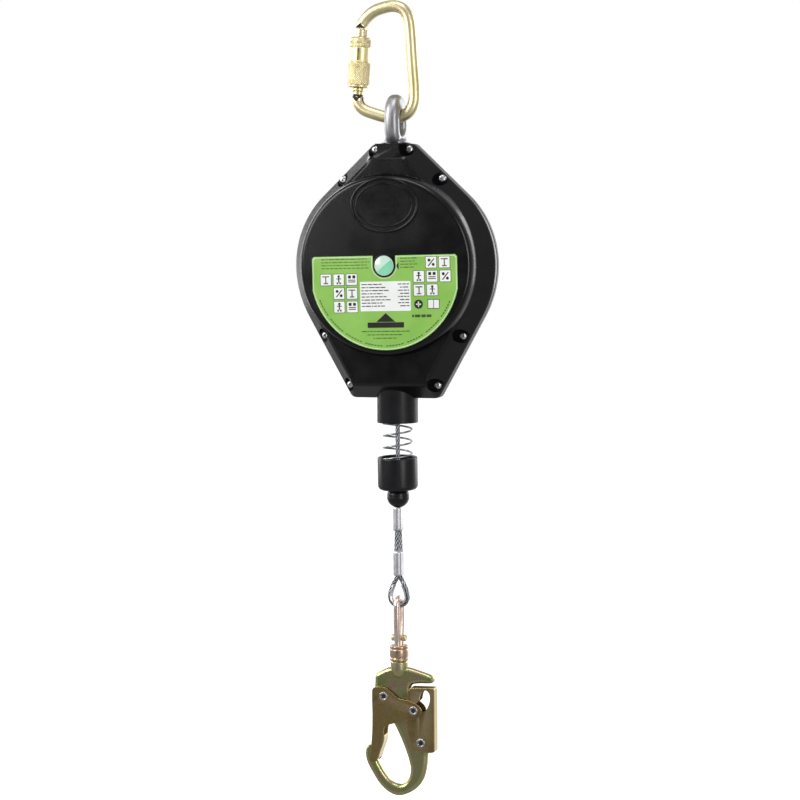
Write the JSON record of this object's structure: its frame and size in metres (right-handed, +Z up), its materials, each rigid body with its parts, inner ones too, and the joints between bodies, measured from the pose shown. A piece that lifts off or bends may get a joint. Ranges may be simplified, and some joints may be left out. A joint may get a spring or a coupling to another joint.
{
  "type": "self retracting lifeline",
  "caption": "Fall arrest block: black clam-shell housing with wire rope on a spring drum, top swivel eye with twist-lock carabiner, sprung rope bumper and swivel snap hook.",
  "frame": {"origin": "inner top of the carabiner's bow, where the anchor carries the unit", "axes": "+Z up along the hanging line, -Y towards the labelled front face, +X to the right seen from the front"},
  "size_m": [0.207, 0.0838, 0.7946],
  "materials": {
    "gold_zinc": "yellow-passivated zinc plate on steel, pale gold with a faint pink and green cast",
    "cast_steel": "satin forged steel, silver",
    "plain_steel": "bright zinc-plated steel",
    "shell_black": "gloss black moulded shell",
    "soft_black": "semi-gloss black moulding",
    "green_label": null,
    "window_green": "white and mint inspection disc",
    "nylon": "natural nylon",
    "spring_steel": "bright spring steel",
    "friction_lining": "brown-black brake lining",
    "bronze": "sintered bronze",
    "wire_rope": "galvanised 7x19 wire rope",
    "ferrule_aluminium": "pressed aluminium",
    "copper_zinc": "iridescent zinc plate, pink copper cast",
    "olive_zinc": "yellow-passivated forged steel, olive gold"
  },
  "bodies": {
    "carabiner": {"carabiner_frame": "gold_zinc", "carabiner_gate_pin": "gold_zinc"},
    "carabiner_gate": {"carabiner_gate": "gold_zinc"},
    "locking_sleeve": {"locking_sleeve": "gold_zinc"},
    "suspension_eye": {"suspension_eye": "cast_steel", "eye_nut": "plain_steel"},
    "housing": {"front_shell": "shell_black", "rear_shell": "shell_black", "seam_gasket_left": "soft_black", "seam_gasket_right": "soft_black", "housing_screw_1": "plain_steel", "housing_screw_2": "plain_steel", "housing_screw_3": "plain_steel", "housing_screw_4": "plain_steel", "housing_screw_5": "plain_steel", "housing_screw_6": "plain_steel", "housing_screw_7": "plain_steel", "housing_screw_8": "plain_steel", "rating_label": "green_label", "window_bezel": "soft_black", "window_lens": "window_green", "load_frame_front": "plain_steel", "load_frame_rear": "plain_steel", "swivel_crosshead": "plain_steel", "frame_spacer_left": "plain_steel", "frame_spacer_right": "plain_steel", "main_shaft": "plain_steel", "shaft_nut": "plain_steel", "power_spring_case": "plain_steel", "power_spring": "spring_steel", "ratchet_ring": "plain_steel", "friction_disc_inner": "friction_lining", "friction_disc_outer": "friction_lining", "brake_cover": "plain_steel", "cable_guide": "nylon", "lead_cable": "wire_rope", "outlet_sleeve": "soft_black", "bumper_spring": "spring_steel"},
    "drum": {"cable_drum": "nylon", "wound_cable": "wire_rope", "drum_bushing": "bronze", "pawl_carrier": "plain_steel"},
    "pawl_a": {"pawl_a": "plain_steel"},
    "pawl_b": {"pawl_b": "plain_steel"},
    "bumper_cup": {"bumper_cup": "soft_black"},
    "line_end": {"tail_cable": "wire_rope", "ball_stop": "soft_black", "rope_eye": "wire_rope", "ferrule_upper": "ferrule_aluminium", "ferrule_lower": "ferrule_aluminium", "thimble": "plain_steel"},
    "link": {"swivel_link": "copper_zinc", "link_cross_pin": "gold_zinc", "swivel_barrel": "olive_zinc"},
    "hook": {"hook_body": "olive_zinc", "gate_rivet": "plain_steel", "lever_rivet": "plain_steel"},
    "hook_gate": {"hook_gate": "olive_zinc", "drive_pin": "plain_steel"},
    "lock_lever": {"lock_lever": "olive_zinc"}
  },
  "joints": [
    {"name": "carabiner_gate_swing", "type": "hinge", "parent": "carabiner", "child": "carabiner_gate", "pos_m": [-0.039, 0, -0.0835], "axis": [0, 1, 0], "range_deg": [0, 22], "stiffness_Nm_per_rad": 0.15, "springref_deg": -22.92},
    {"name": "sleeve_twist", "type": "hinge", "parent": "carabiner_gate", "child": "locking_sleeve", "pos_m": [-0.039, 0, -0.0835], "axis": [0.061, 0, 0.9981], "range_deg": [0, 90], "stiffness_Nm_per_rad": 0.02, "springref_deg": -28.65},
    {"name": "eye_swing", "type": "hinge", "parent": "carabiner", "child": "suspension_eye", "pos_m": [0, 0, -0.1038], "axis": [1, 0, 0], "range_deg": [-60, 60]},
    {"name": "housing_swivel", "type": "hinge", "parent": "suspension_eye", "child": "housing", "pos_m": [0, 0, -0.15], "axis": [0, 0, 1], "continuous": true},
    {"name": "line_payout", "type": "slide", "parent": "housing", "child": "line_end", "axis": [0, 0, -1], "range_m": [0, 9], "stiffness_N_per_m": 2, "springref_m": -10, "deforming": ["tail_cable"]},
    {"name": "drum_turn", "type": "hinge", "parent": "housing", "child": "drum", "pos_m": [0, 0, -0.249], "axis": [0, 1, 0], "range_deg": [0, 9000]},
    {"name": "pawl_a_swing", "type": "hinge", "parent": "drum", "child": "pawl_a", "pos_m": [0, 0.024, -0.215], "axis": [0, -1, 0], "range_deg": [0, 25], "stiffness_Nm_per_rad": 0.02, "springref_deg": -28.65},
    {"name": "pawl_b_swing", "type": "hinge", "parent": "drum", "child": "pawl_b", "pos_m": [0, 0.024, -0.283], "axis": [0, -1, 0], "range_deg": [0, 25], "stiffness_Nm_per_rad": 0.02, "springref_deg": -28.65},
    {"name": "bumper_press", "type": "slide", "parent": "housing", "child": "bumper_cup", "axis": [0, 0, 1], "range_m": [0, 0.03], "stiffness_N_per_m": 1000, "springref_m": -0.01, "deforming": ["bumper_spring"]},
    {"name": "link_swing", "type": "hinge", "parent": "line_end", "child": "link", "pos_m": [0, 0, -0.5901], "axis": [1, 0, 0], "range_deg": [-60, 60]},
    {"name": "hook_swivel", "type": "hinge", "parent": "link", "child": "hook", "pos_m": [0, 0, -0.655], "axis": [0, 0, 1], "continuous": true},
    {"name": "hook_gate_swing", "type": "hinge", "parent": "hook", "child": "hook_gate", "pos_m": [-0.0142, 0, -0.6811], "axis": [0, -1, 0], "range_deg": [0, 18], "stiffness_Nm_per_rad": 0.3, "springref_deg": -22.92},
    {"name": "lever_swing", "type": "hinge", "parent": "hook", "child": "lock_lever", "pos_m": [0.024, 0, -0.727], "axis": [0, -1, 0], "range_deg": [0, 9]}
  ],
  "couplings": [
    {"joint": "drum_turn", "follows": "line_payout", "rad_per_m": 17.453},
    {"joint": "lever_swing", "follows": "hook_gate_swing", "ratio": 0.5}
  ]
}
